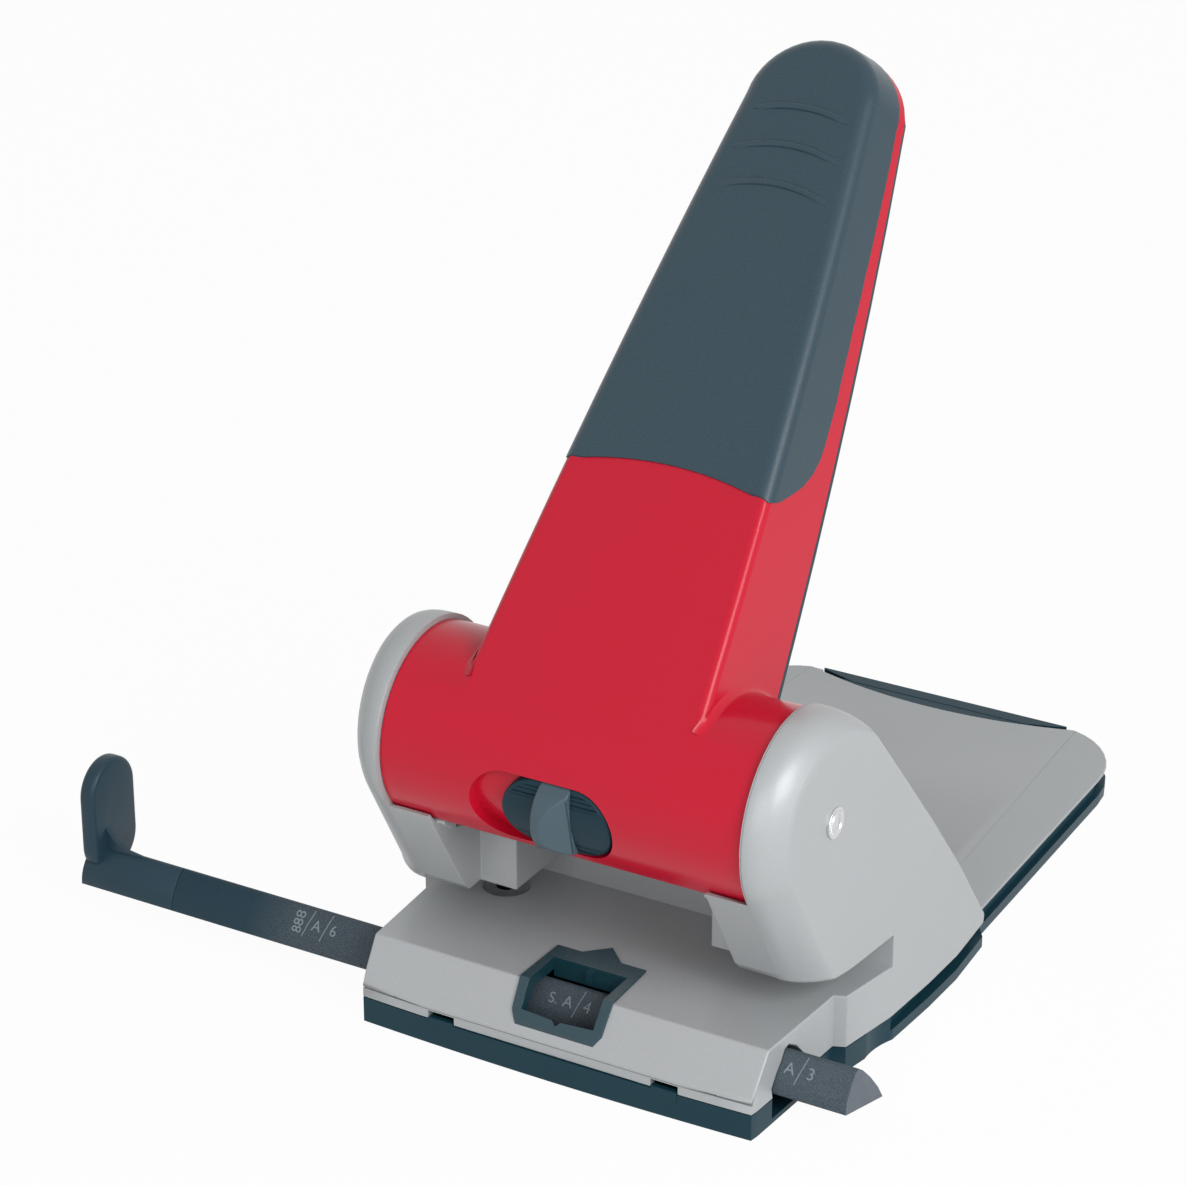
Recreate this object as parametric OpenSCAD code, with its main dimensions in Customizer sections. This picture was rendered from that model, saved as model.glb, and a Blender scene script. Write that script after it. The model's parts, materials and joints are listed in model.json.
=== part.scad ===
// Desk lever hole punch, in millimetres. X runs to the right, Y to the back, Z up from the desk.
// The red drum turns about a line along X above the origin, and the lever is drawn standing up.

/* [Drum and lever] */
// length of the red drum along its axis
drum_length = 99.1; // [97:0.1:101]
// radius of the red drum
drum_radius = 25; // [24.6:0.1:25.3]
// wall of the drum
drum_wall = 2.2; // [1.8:0.1:2.4]
// height of the drum's axis above the desk
axis_height = 75; // [74.6:0.1:77]
// distance from the axis to the tip of the lever
lever_length = 186.2; // [160:0.2:196]
// slope of the standing lever above the desk, in degrees
lever_slope = 46.6; // [43:0.1:49]
// half the width of the lever's front face at the drum
lever_root_half = 32.7; // [31:0.1:33.5]
// half the width of the lever's front face at the tip
lever_tip_half = 16.4; // [14:0.1:18]
// how much wider the lever is at its rear edge, on each side
lever_flare = 3.2; // [2:0.1:4]
// wall of the hollow lever
lever_wall = 2.4; // [1.8:0.1:3]
// thickness of the lever's back cover
cover_thick = 2; // [1.5:0.1:2.6]
// thickness of the soft grip
grip_thick = 1.3; // [1:0.1:1.6]
// how far the grip stands proud of the lever
grip_proud = 0.5; // [0.3:0.1:0.7]
// distance from the axis to the grip's lower edge
grip_start = 69.2; // [60:0.2:80]

/* [Punching] */
// distance between the two holes
hole_spacing = 80; // [78:0.5:81]
// distance from the paper's edge to the hole centres
hole_margin = 12; // [11.5:0.1:12.5]
// diameter of a punch
punch_dia = 5.5; // [5:0.1:6]
// radius of a punch's head
head_radius = 6; // [5.5:0.1:6.2]
// thickness of a punch's head
head_thick = 2.5; // [2:0.1:3]
// how far the punches go down for each radian of the lever
cam_arm = 12; // [11.6:0.1:12.3]
// angle the lever turns when it is pressed, in degrees
press_angle = 54; // [48:1:54]
// width of a cam
cam_width = 10; // [8:0.5:11]
// diameter of the drum's shaft
shaft_dia = 8; // [7:0.1:8.4]

/* [Casting] */
// height of the paper table
table_height = 21.5; // [21:0.1:22]
// height of the paper slot
slot_height = 9.2; // [8.4:0.1:9.4]
// depth of the paper slot, from the drum's axis back
slot_depth = 29.5; // [29:0.1:30.4]
// wall of the casting
cast_wall = 2.5; // [2:0.1:2.8]
// height of the rear deck
deck_height = 9.5; // [9.2:0.1:11]
// distance from the drum's axis to the rear edge of the deck
tail_end = 196.9; // [180:0.5:210]
// half the width of the deck at its rear corners
tail_half = 58.9; // [52:0.2:60]
// distance of the cheeks' flat sides from the middle, at the drum
cheek_half = 61.4; // [61:0.1:63]
// how far the rounded shoulder of a cheek reaches in over its flat side
shoulder_inset = 6.4; // [4:0.2:8]

/* [Lock, bar and tray] */
// how far the lock knob slides
knob_travel = 8; // [6:0.5:8.5]
// length of the knob's plate
plate_length = 31.4; // [28:0.2:32]
// height of the knob's plate
plate_height = 21.4; // [18:0.2:22]
// distance from the middle to the left end of the guide bar
bar_left = 150.5; // [140:0.5:156]
// distance from the middle to the right end of the guide bar
bar_right = 75; // [70:0.5:85]
// distance from the middle to the stop paddle's inner face
stop_at = 145.5; // [138:0.5:146]
// thickness of the stop paddle
paddle_thick = 4.7; // [4:0.1:5.5]
// height of the stop paddle's top edge
paddle_top = 41.7; // [36:0.5:46]
// height of the tray's rim
tray_rim = 6.9; // [6:0.1:6.9]
// thickness of the tray's floor
tray_floor = 1.4; // [1:0.1:1.4]

/* [Hidden] */
$fn = 96;
gap = 0.3; // clearance between bodies
snug = 0.05; // clearance of pins in their bores
far = 300; // longer than any piece

drum_half = drum_length / 2;
drum_in = drum_radius - drum_wall;
punch_x = hole_spacing / 2;
punch_r = punch_dia / 2;
punch_y = slot_depth - hole_margin;
slot_top = table_height + slot_height;
stroke = cam_arm * press_angle * PI / 180;
shell_back = -15; // where the drum's shell ends at the rear, in degrees above the level
shell_front = 218.6; // where it ends under the front
shell_notch = 13; // where it ends over the punches
block_top = axis_height - drum_radius - 1;
block_in = 27.7; // inner sides of the punch blocks
block_front = 2.2; // front of the punch blocks
chin_in = 38.2; // inner sides of the chins
tip_rest = slot_top + gap; // where the punches' tips stand

// the involute cam keeps its contact at cam_arm behind the axis
cam_drop = 7; // depth of the contact below the axis when the lever stands
cam_spread = 58; // how far the cam face runs, in degrees of turn
function cam_low(a) = cam_drop + cam_arm * a * PI / 180;
function cam_face(a) = [cam_arm * cos(a) + cam_low(a) * sin(a), cam_arm * sin(a) - cam_low(a) * cos(a)];
function on_arc(r, a) = [r * cos(a), r * sin(a)];
head_top = axis_height - cam_drop - gap;
disc_radius = drum_in - gap;

// a 2D outline of (Y, Z) points drawn out along X
module along_x(length, centre = false) {
  rotate([90, 0, 90]) linear_extrude(length, center = centre) children();
}
module at_axis() { translate([0, 0, axis_height]) children(); }
module axis_rod(r, x0, x1) { at_axis() translate([x0, 0, 0]) rotate([0, 90, 0]) cylinder(r = r, h = x1 - x0); }
module ring(outer, inner, h) {
  difference() {
    cylinder(r = outer, h = h);
    translate([0, 0, -1]) cylinder(r = inner, h = h + 2);
  }
}
module both_sides() { children(); mirror([1, 0, 0]) children(); }

// ---- lever ----
lever_tip_at = lever_length - lever_tip_half; // centre of the round tip
rear_root = -9.1; // the rear edge's level at the drum, and how it climbs along the lever
rear_climb = 0.1034;
bow_share = 0.375; // share of the taper that bows outwards
skin = 0.2; // thickness of the slices that a rounded form is drawn over
front_sink = 0.12; // how far the lever's front lies below the drum's top
cover_lift = cover_thick / cos(atan(rear_climb)); // how far the shell lies above the cover's underside
module lever_frame() { at_axis() rotate([lever_slope, 0, 0]) children(); }
function lever_half(s) = lever_root_half - (lever_root_half - lever_tip_half) * ((1 - bow_share) * s + bow_share * s * s);
function lever_side(grow, low) = concat(
  [for (i = [0:8]) [lever_half(i / 8) + grow, low + (lever_tip_at - low) * i / 8]],
  [for (a = [15:15:90]) [(lever_tip_half + grow) * cos(a), lever_tip_at + (lever_tip_half + grow) * sin(a)]]);
function mirrored(pts) = concat(pts, [for (i = [len(pts) - 1:-1:0]) [-pts[i][0], pts[i][1]]]);
module lever_plate(grow, low, level) {
  translate([0, 0, level]) linear_extrude(skin) polygon(mirrored(lever_side(grow, low)));
}
module rear_plate(grow, low, lift, thick) {
  translate([0, 0, rear_root + lift]) rotate([atan(rear_climb), 0, 0])
    linear_extrude(thick) polygon(mirrored(lever_side(lever_flare + grow, low)));
}
// the lever's outer form, grown or shrunk, above its back cover
module lever_form(grow) {
  front = drum_radius - front_sink + grow;
  hull() {
    lever_plate(grow - 1.6, 0, front - skin);
    lever_plate(grow - 0.5, 0, front - 0.7);
    lever_plate(grow, 0, front - 1.8);
    rear_plate(grow, 0, cover_lift, skin);
  }
}
module grip_zone() {
  side_edge = [[-2, 26.5], [-3.5, 24], [2.5, 16], [10, 10.2], [19, 8.5], [42, 11], [66, 12], [93, 13], [125, 14.5]];
  difference() {
    along_x(far, true) polygon(concat([for (p = side_edge) [grip_start + p[0], p[1]]],
      [[grip_start + 130, 15], [grip_start + 130, 40], [grip_start - 12, 40]]));
    translate([0, grip_start - 96, 0]) cylinder(r = 96, h = 60, $fn = 200);
  }
}
module drum_sector(length) {
  along_x(length, true) difference() {
    circle(drum_radius);
    circle(drum_in);
    polygon([[0, 0], on_arc(60, shell_front), on_arc(60, 270), on_arc(60, 360 + shell_back)]);
  }
}
knob_angle = 195; // where the knob sits on the drum, in degrees
recess_depth = 3;
recess_length = plate_length + knob_travel + 2 * gap;
recess_height = plate_height + 2 * gap;
plate_x = -0.2; // middle of the knob's plate
recess_x = plate_x - knob_travel / 2;
neck_half = [2, 4];
module at_knob() { at_axis() rotate([knob_angle - 90, 0, 0]) children(); }
module stadium(length, height, low, high) {
  r = height / 2;
  translate([0, 0, low]) linear_extrude(high - low) {
    square([length - height, height], center = true);
    for (s = [-1, 1]) translate([s * (length / 2 - r), 0]) circle(r);
  }
}
bolt_r = 2;
bolt_at = drum_radius - recess_depth - 3 * bolt_r; // distance of the lock bolt from the drum's axis
bolt_block = [10, 10]; // block that carries the bolt
fin_radius = 10; // the knob's disc-shaped thumb piece
fin_thick = 8;
fin_rise = 5.5; // how far it stands above the drum
module lever_shell() {
  color([0.75, 0.07, 0.14]) difference() {
    union() {
      difference() {
        at_axis() drum_sector(drum_length);
        // openings over the punches
        both_sides() translate([punch_x - head_radius - 1, 0, 0]) at_axis() along_x(2 * head_radius + 2)
          polygon([on_arc(drum_in - 3, shell_notch), on_arc(60, shell_notch), on_arc(60, -60), on_arc(drum_in - 3, -60)]);
      }
      difference() {
        lever_frame() difference() {
          union() {
            difference() { lever_form(0); grip_zone(); }
            lever_form(grip_proud - grip_thick);
          }
          // hollow with two long ribs
          difference() {
            hull() {
              lever_plate(-lever_wall - 1, drum_radius + 8, drum_radius - lever_wall - grip_thick);
              rear_plate(-lever_wall, drum_radius + 8, cover_thick - 1, skin);
            }
            both_sides() translate([8.5, 0, -60]) cube([2, far, 120]);
          }
        }
        at_axis() along_x(far, true) circle(drum_in);
      }
      // pocket behind the knob
      intersection() {
        at_knob() translate([recess_x, 0, 0]) stadium(recess_length + 5, recess_height + 5, 10, 40);
        at_axis() along_x(far, true) difference() {
          circle(drum_in + 0.5);
          circle(drum_radius - recess_depth - 2);
        }
      }
    }
    difference() {
      at_knob() translate([recess_x, 0, 0]) stadium(recess_length, recess_height, 10, 40);
      at_axis() along_x(far, true) circle(drum_radius - recess_depth);
    }
    at_knob() translate([-neck_half[0] - gap - knob_travel, -neck_half[1] - gap, bolt_at])
      cube([2 * neck_half[0] + 2 * gap + knob_travel, 2 * neck_half[1] + 2 * gap, 20]);
  }
}
module lever_back_cover() {
  color([0.08, 0.13, 0.16]) difference() {
    lever_frame() rear_plate(0, 0, 0, cover_thick);
    at_axis() along_x(far, true) circle(drum_radius + gap);
  }
}
module grip_cover() {
  color([0.2, 0.27, 0.32]) lever_frame() {
    intersection() {
      difference() { lever_form(grip_proud); lever_form(grip_proud - grip_thick); }
      grip_zone();
    }
    // raised arcs for the thumb
    for (i = [0:2]) translate([0, lever_tip_at - 2.6 - 10.6 * i - 38, drum_radius - front_sink + grip_proud - 0.1])
      intersection() {
        ring(38.6, 37.4, 0.7);
        translate([-13 - 1.5 * i, 20, -1]) cube([26 + 3 * i, 30, 3]);
      }
  }
}
module end_disc() {
  difference() {
    axis_rod(disc_radius, drum_half - 3, drum_half - 0.4);
    axis_rod(shaft_dia / 2 + snug, 0, far);
    at_knob() translate([0, 0, bolt_at]) rotate([0, 90, 0]) cylinder(r = bolt_r + gap, h = far, center = true);
  }
}
module left_end_disc() { color([0.5, 0.52, 0.54]) mirror([1, 0, 0]) end_disc(); }
module right_end_disc() { color([0.5, 0.52, 0.54]) end_disc(); }
module cam(side) {
  at_axis() translate([side * punch_x, 0, 0]) along_x(cam_width, true) difference() {
    union() {
      circle(shaft_dia / 2 + 4);
      intersection() {
        polygon(concat([[0, 0]], [for (a = [-5:3:cam_spread]) cam_face(a)], [for (a = [5:10:95]) on_arc(60, a)]));
        circle(disc_radius);
      }
    }
    circle(shaft_dia / 2 + snug);
  }
}
module left_cam() { color([0.6, 0.61, 0.63]) cam(-1); }
module right_cam() { color([0.6, 0.61, 0.63]) cam(1); }

// ---- lock ----
module lock_knob() {
  color([0.16, 0.26, 0.31]) difference() {
    union() {
      intersection() {
        at_knob() translate([plate_x, 0, 0]) stadium(plate_length, plate_height, bolt_at, 40);
        at_axis() along_x(far, true) circle(drum_radius);
      }
      // the disc-shaped thumb piece
      at_knob() translate([0, 0, drum_radius + fin_rise - fin_radius]) rotate([0, 90, 0])
        cylinder(r = fin_radius, h = fin_thick, center = true);
    }
    at_axis() along_x(far, true) circle(drum_radius - recess_depth + gap);
  }
  color([0.16, 0.26, 0.31]) intersection() {
    at_knob() translate([-neck_half[0], -neck_half[1], bolt_at + bolt_r])
      cube([2 * neck_half[0], 2 * neck_half[1], 20]);
    at_axis() along_x(far, true) circle(drum_radius - 1);
  }
}
module lock_bolt() {
  color([0.65, 0.66, 0.68]) {
    at_knob() translate([neck_half[0] * 2 - bolt_block[0], -bolt_block[1] / 2, bolt_at - bolt_r])
      cube([bolt_block[0], bolt_block[1], 2 * bolt_r]);
    at_knob() translate([-drum_half + gap, 0, bolt_at]) rotate([0, 90, 0])
      cylinder(r = bolt_r, h = drum_half - bolt_block[0] / 2);
  }
}

// ---- casting ----
cap_r = drum_radius + 1.3; // rim of the cheeks round the drum
chin_turn = 210.8; // where the front of a cheek leaves the round, in degrees
rear_turn = 38.5; // where its rear edge does
function line_y(turn, z) = (cap_r - (z - axis_height) * sin(turn)) / cos(turn);
cast_low = tray_rim + gap; // lower edge of the casting
cheek_in = drum_half + gap;
wall_in = 56; // inner face of the cheeks behind the drum
cheek_yaw = 0.09; // the flat sides open to the rear
side_turn = 49.4; // where the sides are nearly at their widest
side_full = 65.3;
side_end = 84;
function cheek_side(y) = cheek_half + cheek_yaw * y;
cheek_back = line_y(rear_turn, deck_height);
tip_round = 2.3; // rounding of the chins' lower front edge
stop_thick = 3.5; // thickness of the paper stop
shoulder_from = 98; // where the shoulder begins at the top, and where it is at its widest
shoulder_full = 196;
chin_low_y = line_y(chin_turn, slot_top + tip_round);
function cheek_rim(inset) = concat(
  [for (i = [0:26]) let (a = rear_turn + (chin_turn - rear_turn) * i / 26,
    r = cap_r - inset * min(1, max(0, (a - shoulder_from) / (shoulder_full - shoulder_from))))
    [r * cos(a), axis_height + r * sin(a)]],
  [[chin_low_y - inset / cos(chin_turn), slot_top + tip_round],
    [chin_low_y - inset / cos(chin_turn) + tip_round, slot_top], [slot_depth, cast_low],
    [line_y(rear_turn, cast_low) - 1, cast_low], [cheek_back, deck_height]]);
function side_x(y) = lookup(y, [[-60, cheek_side(-60)], [slot_depth, cheek_side(slot_depth)],
  [side_turn, cheek_side(slot_depth) + 1.2], [side_full, cheek_side(slot_depth) + 1.5],
  [side_end, cheek_side(slot_depth) + 0.2], [side_end + 7, cheek_side(slot_depth) - 1.6]]);
function rear_z(y) = axis_height + (cap_r - y * cos(rear_turn)) / sin(rear_turn);
face_pts = concat(cheek_rim(shoulder_inset),
  [for (y = [slot_depth, side_turn, side_full, side_end]) for (z = [cast_low, rear_z(y)]) [y, z]]);
module cheek_slice(x, inset) { translate([x, 0, 0]) along_x(skin) polygon(cheek_rim(inset)); }
module cheek_form() {
  deep = cheek_half - cheek_in;
  hull() {
    cheek_slice(cheek_in, 0);
    cheek_slice(cheek_in + deep * 0.35, shoulder_inset * 0.1);
    cheek_slice(cheek_in + deep * 0.7, shoulder_inset * 0.42);
    polyhedron([for (p = face_pts) [side_x(p[0]), p[0], p[1]]], [for (i = [0:len(face_pts) - 3]) [i, i + 1, i + 2]]);
  }
}
module cheek() {
  difference() {
    union() {
      cheek_form();
      // chin and punch block under the drum
      difference() {
        along_x(wall_in) polygon([[on_arc(cap_r, chin_turn)[0] + snug, axis_height + on_arc(cap_r, chin_turn)[1]],
          [chin_low_y + snug, slot_top + tip_round], [chin_low_y + tip_round, slot_top], [chin_low_y + tip_round, 2],
          [slot_depth + stop_thick + 1, 2], [slot_depth + stop_thick + 1, block_top], [0, block_top]]);
        linear_extrude(far) polygon([[-1, -far], [chin_in, -far], [chin_in, block_front], [block_in, block_front],
          [block_in, far], [-1, far]]);
        axis_rod(drum_radius + gap + 0.1, 0, cheek_in + 1);
      }
    }
    // room for the paper, the base and the lever
    translate([0, -far, 0]) cube([far, far + slot_depth, slot_top]);
    cube([wall_in, far, table_height]);
    translate([0, slot_depth + stop_thick, 0]) cube([wall_in, far, far]);
    axis_rod(shaft_dia / 2 + snug, 0, far);
    translate([punch_x, punch_y, 0]) cylinder(r = bush_r + snug, h = far / 4);
  }
}
bush_r = 5;
module left_cheek() {
  color([0.66, 0.68, 0.69]) difference() {
    mirror([1, 0, 0]) cheek();
    // room for the lock bolt wherever the lever stands
    at_axis() translate([-cheek_in - knob_travel - 0.2, 0, 0]) along_x(knob_travel + 0.2) difference() {
      circle(bolt_at + bolt_r + gap);
      circle(bolt_at - bolt_r - gap);
      polygon([[0, 0], on_arc(60, knob_angle + 11), on_arc(60, 270), on_arc(60, 360), on_arc(60, 450),
        on_arc(60, knob_angle - press_angle - 11)]);
    }
  }
}
module right_cheek() { color([0.66, 0.68, 0.69]) cheek(); }

front_y = -28.7; // front edge of the casting and the tray in the middle, and at their corners
front_side_y = -27.4;
front_half = 55;
table_half = 57.7; // half the width of the table's front part, at its rear end
table_turn = 10.1;
corner_wide = 20.5; // rear corners of the deck, which are a quarter of an oval
corner_long = 23.6;
deck_crown = 1.3; // how much higher the deck is in the middle than at its sides
deck_rear = tail_end - 1.7;
bevel_y = -20.2; // where the table's sloping front begins
lip_y = -28.1; // where the slope ends
lip_z = 10.3;
function front_bow(x) = front_y + (front_side_y - front_y) * (x / front_half) * (x / front_half);
front_pts = [for (i = [0:6]) [front_half * i / 6, front_bow(front_half * i / 6)]];
tail_pts = concat([[cheek_side(slot_depth) - 2.6, cheek_back + 2.5]],
  [for (a = [0:10:90]) [tail_half + 0.5 - corner_wide * (1 - cos(a)), deck_rear - corner_long * (1 - sin(a))]]);
side_pts = [[front_half + 0.4, -25], [table_half, table_turn], [table_half + 3, table_turn + 1.2],
  [cheek_side(slot_depth), slot_depth]];
rear_side_pts = [[cheek_side(slot_depth) + 1.2, side_turn], [cheek_side(slot_depth) + 1.5, side_full],
  [cheek_side(slot_depth) + 0.2, side_end]];
bar_section = [[-17.3, 7.7], [-17.2, 10], [-15.6, 12.5], [-13.5, 14.7], [-12, 17], [-11, 17.4], [-7.9, 15.3],
  [-4.2, 11.7], [0.4, 6.4], [3.5, 1.8]];
bar_notch = [[-18.3, 0], [-18.2, 10.2], [-16.4, 13.1], [-14.3, 15.4], [-12.7, 17.9], [-10.9, 18.4], [-7.3, 16.1],
  [-3.6, 12.4], [1.2, 7], [4.4, 2], [4.4, 0]];
bow_radius = 110; // the hollow in the deck's rear edge
bow_depth = 10.1;
die_r = 6;
die_low = table_height - 4;
window_half = 11.9;
window_back = -5;
window_front = -25;
hinge_y = tail_end - 1.6; // axis of the tray's hinge
hinge_z = tray_rim - 1.6;
hinge_x = tail_half - corner_wide + 2.1; // middle of a hinge lug
lug_half = 1.5;
lug_long = 5;
hinge_pin = 0.8;
tab_x = 31.6; // front tabs of the tray
tab_half = 3.5;
tab_high = 4.5;
tab_top = cast_low + 1.8;
module slope_profile(inset) {
  polygon([[lip_y + inset, cast_low - 1], [lip_y + inset, lip_z], [bevel_y + inset * 0.62, table_height - inset],
    [slot_depth + stop_thick, table_height - inset], [slot_depth + stop_thick, cast_low - 1]]);
}
module base_casting() {
  color([0.63, 0.65, 0.66]) difference() {
    union() {
      // table with its sloping front
      intersection() {
        translate([0, 0, cast_low]) linear_extrude(far)
          polygon(mirrored(concat(front_pts, side_pts, [[cheek_side(slot_depth), slot_depth + stop_thick]])));
        along_x(far, true) slope_profile(0);
      }
      // deck
      intersection() {
        translate([0, 0, cast_low]) linear_extrude(deck_height - cast_low + 1)
          polygon(mirrored(concat([[wall_in, slot_depth + 1], [wall_in, cheek_back + 2.5]], tail_pts)));
        rotate([90, 0, 0]) linear_extrude(2 * far, center = true) polygon(concat([[tail_half + 9, 2], [-tail_half - 9, 2]],
          [for (i = [-8:8]) [(tail_half + 9) * i / 8, deck_height - deck_crown * pow((1 + 9 / tail_half) * i / 8, 2)]]));
      }
    }
    // room under the table
    intersection() {
      translate([0, 0, -1]) linear_extrude(far) polygon(mirrored(concat(
        [for (p = front_pts) [p[0] * 0.953, p[1] + cast_wall]],
        [[table_half - cast_wall - 2.4, slot_depth]])));
      along_x(far, true) slope_profile(cast_wall);
    }
    // the cheeks' own walls
    both_sides() translate([wall_in, slot_depth, 0]) cube([far, cheek_back - slot_depth + 2.5, far]);
    along_x(far, true) polygon(bar_notch);
    translate([-window_half, window_front, cast_low]) cube([2 * window_half, window_back - window_front, far]);
    both_sides() translate([punch_x, punch_y, 0]) cylinder(r = die_r + snug, h = far);
    translate([0, tail_end - bow_depth + bow_radius, 0]) cylinder(r = bow_radius, h = far, $fn = 200);
    both_sides() translate([tab_x - tab_half - gap, front_y - 2, 0]) cube([2 * tab_half + 2 * gap, 6, tab_top + gap]);
  }
  // paper stop between the cheeks
  color([0.63, 0.65, 0.66]) translate([-block_in + snug, slot_depth, table_height])
    cube([2 * (block_in - snug), stop_thick, block_top - table_height]);
  // lugs that carry the tray
  color([0.63, 0.65, 0.66]) both_sides() translate([hinge_x, 0, 0]) along_x(2 * lug_half, true) difference() {
    union() {
      translate([hinge_y, hinge_z]) circle(1.5);
      translate([hinge_y - lug_long, hinge_z]) square([lug_long + 1.5, cast_low - hinge_z + 0.5]);
    }
    translate([hinge_y, hinge_z]) circle(hinge_pin + snug);
  }
}
module window_frame() {
  flange = 0.6;
  rim = window_half + 0.7; // outside of the frame, its arrow and its opening
  arrow = [5.6, 5.4];
  open_half = window_half - 1.55;
  open_back = window_back - 3.6;
  open_front = window_front + 1.4;
  plan = [[-rim, window_back + 2], [-arrow[0], window_back + 2], [0, window_back + 2 + arrow[1]],
    [arrow[0], window_back + 2], [rim, window_back + 2], [rim + 0.5, bevel_y], [rim + 0.1, window_front - 0.2],
    [rim - 1.6, window_front - 1.8], [1.6 - rim, window_front - 1.8], [-rim - 0.1, window_front - 0.2],
    [-rim - 0.5, bevel_y]];
  color([0.1, 0.2, 0.24]) difference() {
    union() {
      intersection() {
        linear_extrude(far) polygon(plan);
        along_x(far, true) difference() {
          polygon([[bevel_y, table_height], [10, table_height], [10, table_height + flange],
            [bevel_y - 0.3, table_height + flange], [lip_y - 0.5, lip_z + 0.35], [lip_y, lip_z]]);
        }
      }
      intersection() {
        translate([-window_half + 0.1, window_front + 0.1, 0])
          cube([2 * window_half - 0.2, window_back - window_front - 0.2, far]);
        along_x(far, true) polygon([[0, table_height - cast_wall - 0.3], [0, table_height], [bevel_y, table_height],
          [lip_y, lip_z], [lip_y + 3, lip_z], [bevel_y + 2, table_height - cast_wall - 0.3]]);
      }
    }
    linear_extrude(far) polygon([[-open_half, open_back], [open_half, open_back], [open_half, open_front + 0.4],
      [1.3, open_front], [0, open_front - 1], [-1.3, open_front], [-open_half, open_front + 0.4]]);
  }
}
module die(side) {
  translate([side * punch_x, punch_y, die_low]) ring(die_r, punch_r + snug, table_height - die_low);
}
module left_die() { color([0.7, 0.7, 0.72]) die(-1); }
module right_die() { color([0.7, 0.7, 0.72]) die(1); }
module guide_bush(side) {
  translate([side * punch_x, punch_y, slot_top]) ring(bush_r, punch_r + snug, block_top - slot_top);
}
module left_guide_bush() { color([0.72, 0.66, 0.45]) guide_bush(-1); }
module right_guide_bush() { color([0.72, 0.66, 0.45]) guide_bush(1); }
module pivot_shaft() {
  color([0.75, 0.76, 0.78]) {
    axis_rod(shaft_dia / 2, -cheek_half - 0.5, cheek_half + 0.5);
    both_sides() axis_rod(shaft_dia / 2 - 0.8, 0, cheek_half + 0.9);
  }
}

// ---- punches ----
collar_long = 2.5;
pin_top = head_top - head_thick;
spring_turns = 5;
wire_r = 0.45;
coil_r = (head_radius + punch_r) / 2 + 0.35;
spring_low = block_top + gap + wire_r;
spring_high = pin_top - gap - wire_r;
module punch_pin(side) {
  translate([side * punch_x, punch_y, tip_rest]) cylinder(r = punch_r, h = pin_top - tip_rest);
}
module punch_head(side) {
  translate([side * punch_x, punch_y, pin_top]) cylinder(r = head_radius, h = head_thick);
  translate([side * punch_x, punch_y, pin_top - collar_long]) ring(punch_r + 1, punch_r + 0.02, collar_long);
}
module return_spring(side) {
  ring_n = 8;
  steps = 22 * spring_turns;
  pts = [for (i = [0:steps]) for (k = [0:ring_n - 1])
    let (t = i / steps, a = 360 * spring_turns * t, b = 360 * k / ring_n, r = coil_r + wire_r * cos(b))
    [r * cos(a), r * sin(a), spring_low + (spring_high - spring_low) * t + wire_r * sin(b)]];
  sides = [for (i = [0:steps - 1]) for (k = [0:ring_n - 1])
    [i * ring_n + k, (i + 1) * ring_n + k, (i + 1) * ring_n + (k + 1) % ring_n, i * ring_n + (k + 1) % ring_n]];
  ends = [[for (k = [0:ring_n - 1]) k], [for (k = [ring_n - 1:-1:0]) steps * ring_n + k]];
  translate([side * punch_x, punch_y, 0]) polyhedron(pts, concat(sides, ends));
}
module left_punch_pin() { color([0.75, 0.76, 0.78]) punch_pin(-1); }
module right_punch_pin() { color([0.75, 0.76, 0.78]) punch_pin(1); }
module left_punch_head() { color([0.7, 0.7, 0.72]) punch_head(-1); }
module right_punch_head() { color([0.7, 0.7, 0.72]) punch_head(1); }
module left_return_spring() { color([0.6, 0.62, 0.65]) return_spring(-1); }
module right_return_spring() { color([0.6, 0.62, 0.65]) return_spring(1); }

// ---- guide bar ----
sleeve_at = 121.2; // where the stop's sleeve ends on the bar
module guide_bar() {
  color([0.3, 0.36, 0.4]) translate([-sleeve_at, 0, 0]) along_x(bar_right + sleeve_at) polygon(bar_section);
}
paddle_front = -16.8;
paddle_back = 1.9;
paddle_low = 9;
paddle_round = 9.3;
module stop_plate() {
  color([0.16, 0.25, 0.3]) {
    translate([-bar_left, 0, 0]) along_x(bar_left - sleeve_at) polygon(bar_section);
    translate([-stop_at - paddle_thick, 0, 0]) along_x(paddle_thick) {
      translate([paddle_front, paddle_low + paddle_round])
        square([paddle_back - paddle_front, paddle_top - paddle_low - 2 * paddle_round]);
      translate([paddle_front + paddle_round, paddle_low])
        square([paddle_back - paddle_front - 2 * paddle_round, paddle_top - paddle_low]);
      for (y = [paddle_front + paddle_round, paddle_back - paddle_round])
        for (z = [paddle_low + paddle_round, paddle_top - paddle_round]) translate([y, z]) circle(paddle_round);
    }
    // fin between the paddle and the bar
    fin_top = paddle_top - 17;
    translate([-stop_at - 0.5, -11.9, 0]) rotate([90, 0, 180]) linear_extrude(1.4)
      polygon([[0, 10], [0, fin_top], [-3, fin_top - 4], [-8, fin_top - 7.2], [-14, fin_top - 7.6], [-14, 12]]);
  }
}

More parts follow.
